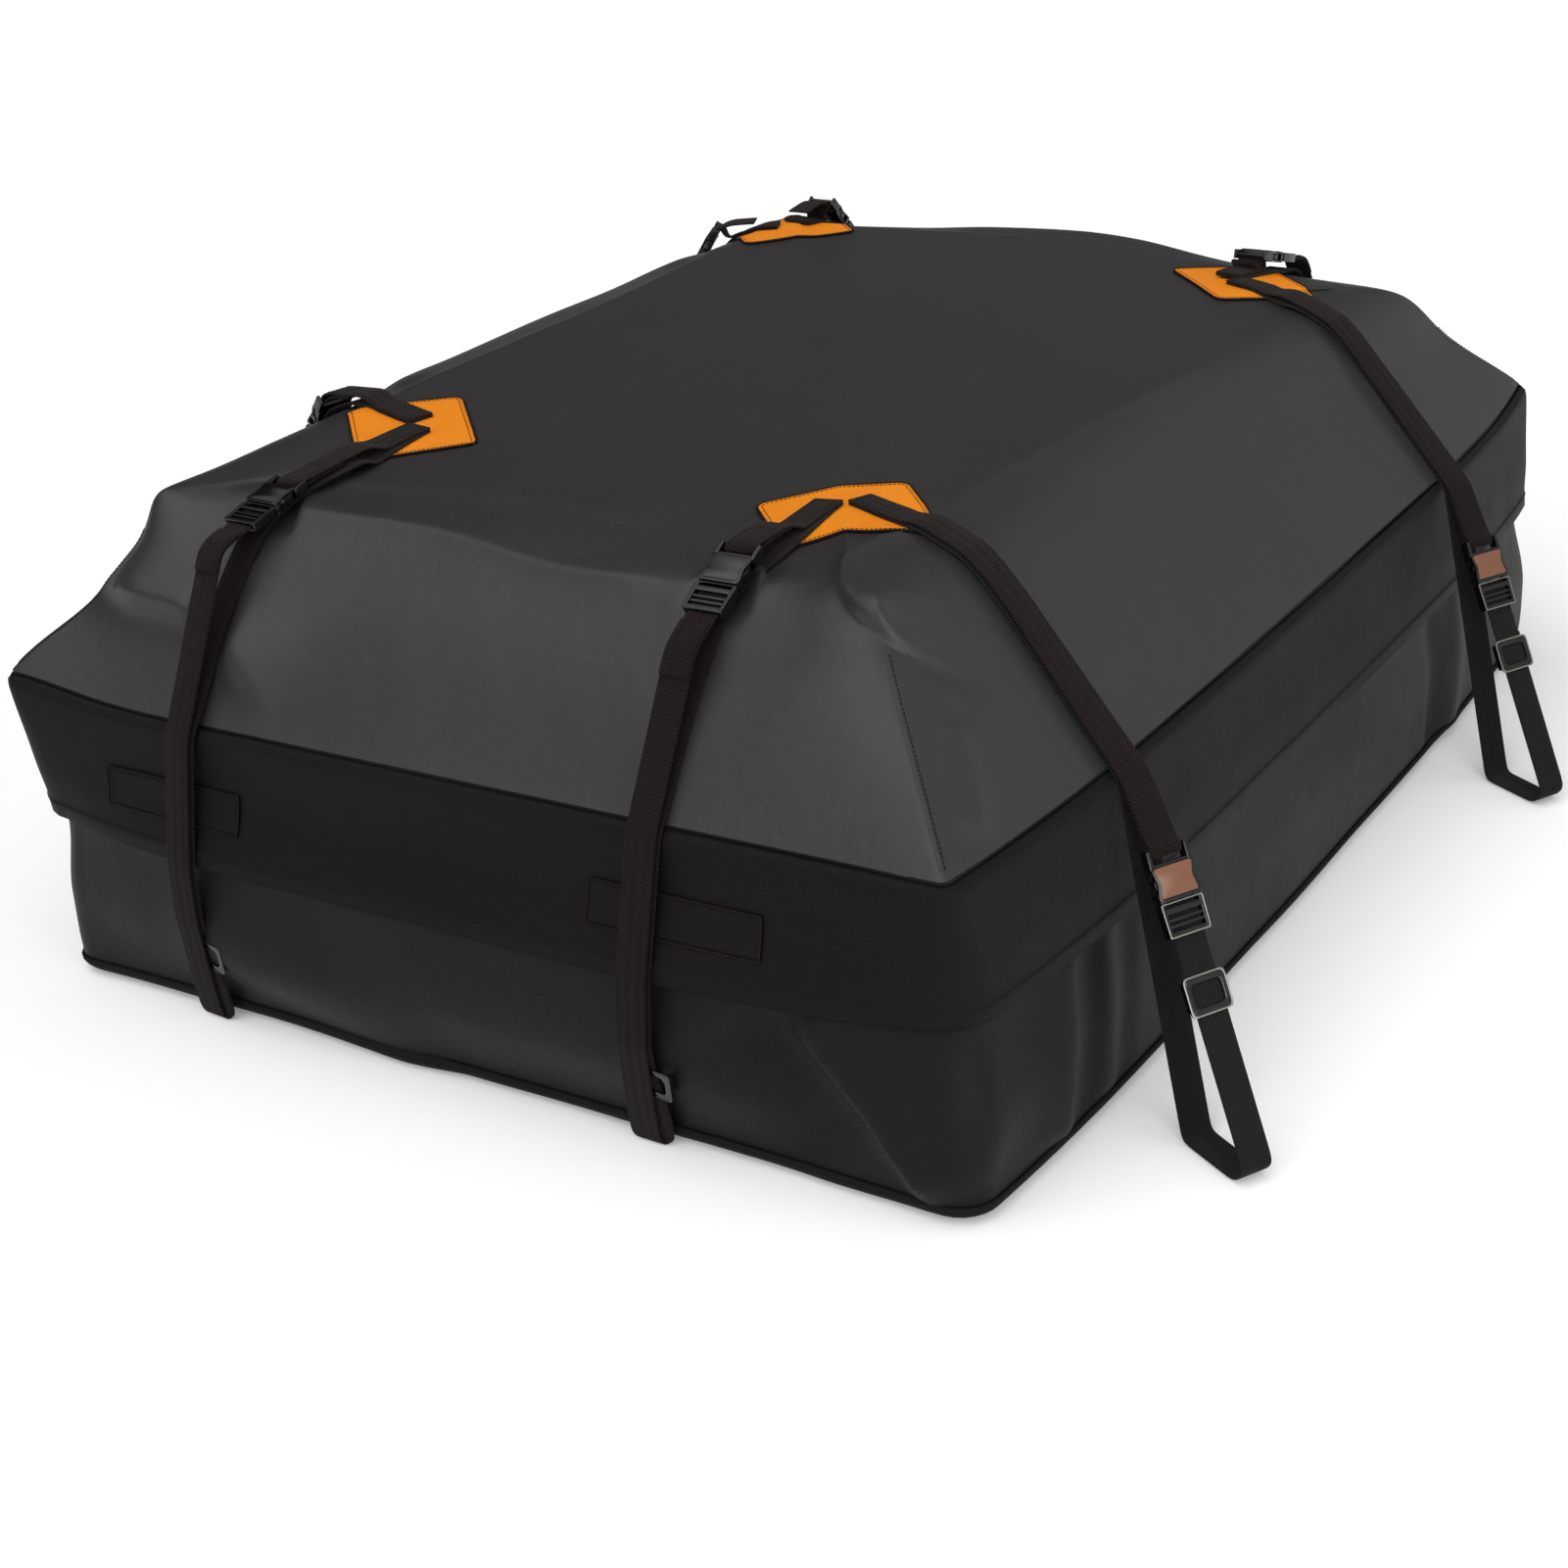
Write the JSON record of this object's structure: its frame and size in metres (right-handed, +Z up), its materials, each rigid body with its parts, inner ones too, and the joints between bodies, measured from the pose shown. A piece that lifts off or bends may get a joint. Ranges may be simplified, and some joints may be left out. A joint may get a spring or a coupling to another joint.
{
  "type": "rooftop cargo carrier",
  "caption": "Packed soft roof bag of coated cloth with a storm flap over its zip, corner patches, webbing tie-down straps, side-release buckles and tri-glides.",
  "frame": {"origin": "centre of the bag's base on the surface that it stands on, z = 0", "axes": "+Z up; -Y towards the short end that the zip opens at, the bag's front; +X to the right as seen from above with the front down"},
  "size_m": [1.1515, 1.1768, 0.423],
  "materials": {
    "coated_cloth": "PVC-coated polyester cloth, fine weave showing through a satin coating",
    "flap_cloth": "thinner matt coated cloth",
    "binding_tape": "folded binding tape, matt",
    "webbing": "woven polyester webbing, matt",
    "patch_cloth": "orange coated cloth, satin",
    "zip_nylon": "woven zip tape with a coil of nylon",
    "slider_zinc": "die-cast zinc, black nickel",
    "moulded_black": "injection-moulded acetal, semi-gloss"
  },
  "bodies": {
    "bag": {"bag_body": "coated_cloth", "storm_flap": "flap_cloth", "base_binding": "binding_tape", "zip_chain": "zip_nylon", "front_left_patch": "patch_cloth", "front_right_patch": "patch_cloth", "rear_right_patch": "patch_cloth", "rear_left_patch": "patch_cloth", "front_left_end_long_strap": "webbing", "front_left_end_short_strap": "webbing", "front_left_end_buckle_socket": "moulded_black", "front_left_keeper": "flap_cloth", "front_left_side_long_strap": "webbing", "front_left_side_short_strap": "webbing", "front_left_side_buckle_socket": "moulded_black", "front_right_end_long_strap": "webbing", "front_right_end_short_strap": "webbing", "front_right_end_buckle_socket": "moulded_black", "front_right_keeper": "flap_cloth", "front_right_side_long_strap": "webbing", "front_right_side_short_strap": "webbing", "front_right_side_buckle_socket": "moulded_black", "rear_right_end_long_strap": "webbing", "rear_right_end_short_strap": "webbing", "rear_right_end_buckle_socket": "moulded_black", "rear_right_keeper": "flap_cloth", "rear_right_side_long_strap": "webbing", "rear_right_side_short_strap": "webbing", "rear_right_side_buckle_socket": "moulded_black", "rear_left_end_long_strap": "webbing", "rear_left_end_short_strap": "webbing", "rear_left_end_buckle_socket": "moulded_black", "rear_left_keeper": "flap_cloth", "rear_left_side_long_strap": "webbing", "rear_left_side_short_strap": "webbing", "rear_left_side_buckle_socket": "moulded_black"},
    "front_left_end_plug": {"front_left_end_buckle_plug": "moulded_black"},
    "front_left_end_adjuster": {"front_left_end_triglide": "moulded_black"},
    "front_left_side_plug": {"front_left_side_buckle_plug": "moulded_black"},
    "front_left_side_adjuster": {"front_left_side_triglide": "moulded_black"},
    "front_right_end_plug": {"front_right_end_buckle_plug": "moulded_black"},
    "front_right_end_adjuster": {"front_right_end_triglide": "moulded_black"},
    "front_right_side_plug": {"front_right_side_buckle_plug": "moulded_black"},
    "front_right_side_adjuster": {"front_right_side_triglide": "moulded_black"},
    "rear_right_end_plug": {"rear_right_end_buckle_plug": "moulded_black"},
    "rear_right_end_adjuster": {"rear_right_end_triglide": "moulded_black"},
    "rear_right_side_plug": {"rear_right_side_buckle_plug": "moulded_black"},
    "rear_right_side_adjuster": {"rear_right_side_triglide": "moulded_black"},
    "rear_left_end_plug": {"rear_left_end_buckle_plug": "moulded_black"},
    "rear_left_end_adjuster": {"rear_left_end_triglide": "moulded_black"},
    "rear_left_side_plug": {"rear_left_side_buckle_plug": "moulded_black"},
    "rear_left_side_adjuster": {"rear_left_side_triglide": "moulded_black"},
    "zip_slider_left": {"zip_slider_left": "slider_zinc"},
    "zip_pull_left": {"zip_pull_left": "slider_zinc"},
    "zip_slider_right": {"zip_slider_right": "slider_zinc"},
    "zip_pull_right": {"zip_pull_right": "slider_zinc"}
  },
  "joints": [
    {"name": "front_left_end_plug_slide", "type": "slide", "parent": "bag", "child": "front_left_end_plug", "axis": [-0.0671, -0.9594, -0.2741], "range_m": [0, 0.026]},
    {"name": "front_left_end_adjuster_slide", "type": "slide", "parent": "bag", "child": "front_left_end_adjuster", "axis": [-0.143, 0.1862, -0.9721], "range_m": [-0.015, 0.015]},
    {"name": "front_left_side_plug_slide", "type": "slide", "parent": "bag", "child": "front_left_side_plug", "axis": [-0.6113, 0.1524, -0.7766], "range_m": [0, 0.026]},
    {"name": "front_left_side_adjuster_slide", "type": "slide", "parent": "bag", "child": "front_left_side_adjuster", "axis": [-0.4412, 0.0154, -0.8973], "range_m": [-0.015, 0.015]},
    {"name": "front_right_end_plug_slide", "type": "slide", "parent": "bag", "child": "front_right_end_plug", "axis": [-0.0153, -0.8741, -0.4856], "range_m": [0, 0.026]},
    {"name": "front_right_end_adjuster_slide", "type": "slide", "parent": "bag", "child": "front_right_end_adjuster", "axis": [-0.1724, 0.2508, -0.9526], "range_m": [-0.015, 0.015]},
    {"name": "front_right_side_plug_slide", "type": "slide", "parent": "bag", "child": "front_right_side_plug", "axis": [0.3999, -0.2309, -0.887], "range_m": [0, 0.026]},
    {"name": "front_right_side_adjuster_slide", "type": "slide", "parent": "bag", "child": "front_right_side_adjuster", "axis": [0.3999, -0.2309, -0.887], "range_m": [0, 0.02]},
    {"name": "rear_right_end_plug_slide", "type": "slide", "parent": "bag", "child": "rear_right_end_plug", "axis": [0.101, 0.9608, -0.2581], "range_m": [0, 0.026]},
    {"name": "rear_right_end_adjuster_slide", "type": "slide", "parent": "bag", "child": "rear_right_end_adjuster", "axis": [-0.0226, -0.2148, -0.9764], "range_m": [-0.015, 0.015]},
    {"name": "rear_right_side_plug_slide", "type": "slide", "parent": "bag", "child": "rear_right_side_plug", "axis": [0.3999, -0.2309, -0.887], "range_m": [0, 0.026]},
    {"name": "rear_right_side_adjuster_slide", "type": "slide", "parent": "bag", "child": "rear_right_side_adjuster", "axis": [0.3999, -0.2309, -0.887], "range_m": [0, 0.02]},
    {"name": "rear_left_end_plug_slide", "type": "slide", "parent": "bag", "child": "rear_left_end_plug", "axis": [0.0661, 0.6286, -0.7749], "range_m": [0, 0.026]},
    {"name": "rear_left_end_adjuster_slide", "type": "slide", "parent": "bag", "child": "rear_left_end_adjuster", "axis": [-0.0208, -0.1983, -0.9799], "range_m": [-0.015, 0.015]},
    {"name": "rear_left_side_plug_slide", "type": "slide", "parent": "bag", "child": "rear_left_side_plug", "axis": [-0.4929, -0.2298, -0.8392], "range_m": [0, 0.026]},
    {"name": "rear_left_side_adjuster_slide", "type": "slide", "parent": "bag", "child": "rear_left_side_adjuster", "axis": [-0.4109, -0.1916, -0.8913], "range_m": [-0.015, 0.015]},
    {"name": "zip_slider_left_slide", "type": "slide", "parent": "bag", "child": "zip_slider_left", "axis": [-1, 0, 0], "range_m": [0, 0.24]},
    {"name": "zip_pull_left_hinge", "type": "hinge", "parent": "zip_slider_left", "child": "zip_pull_left", "pos_m": [-0.026, -0.55614, 0.219], "axis": [1, 0, 0], "range_deg": [-5, 0]},
    {"name": "zip_slider_right_slide", "type": "slide", "parent": "bag", "child": "zip_slider_right", "axis": [1, 0, 0], "range_m": [0, 0.24]},
    {"name": "zip_pull_right_hinge", "type": "hinge", "parent": "zip_slider_right", "child": "zip_pull_right", "pos_m": [0.026, -0.55614, 0.219], "axis": [1, 0, 0], "range_deg": [-5, 0]}
  ]
}
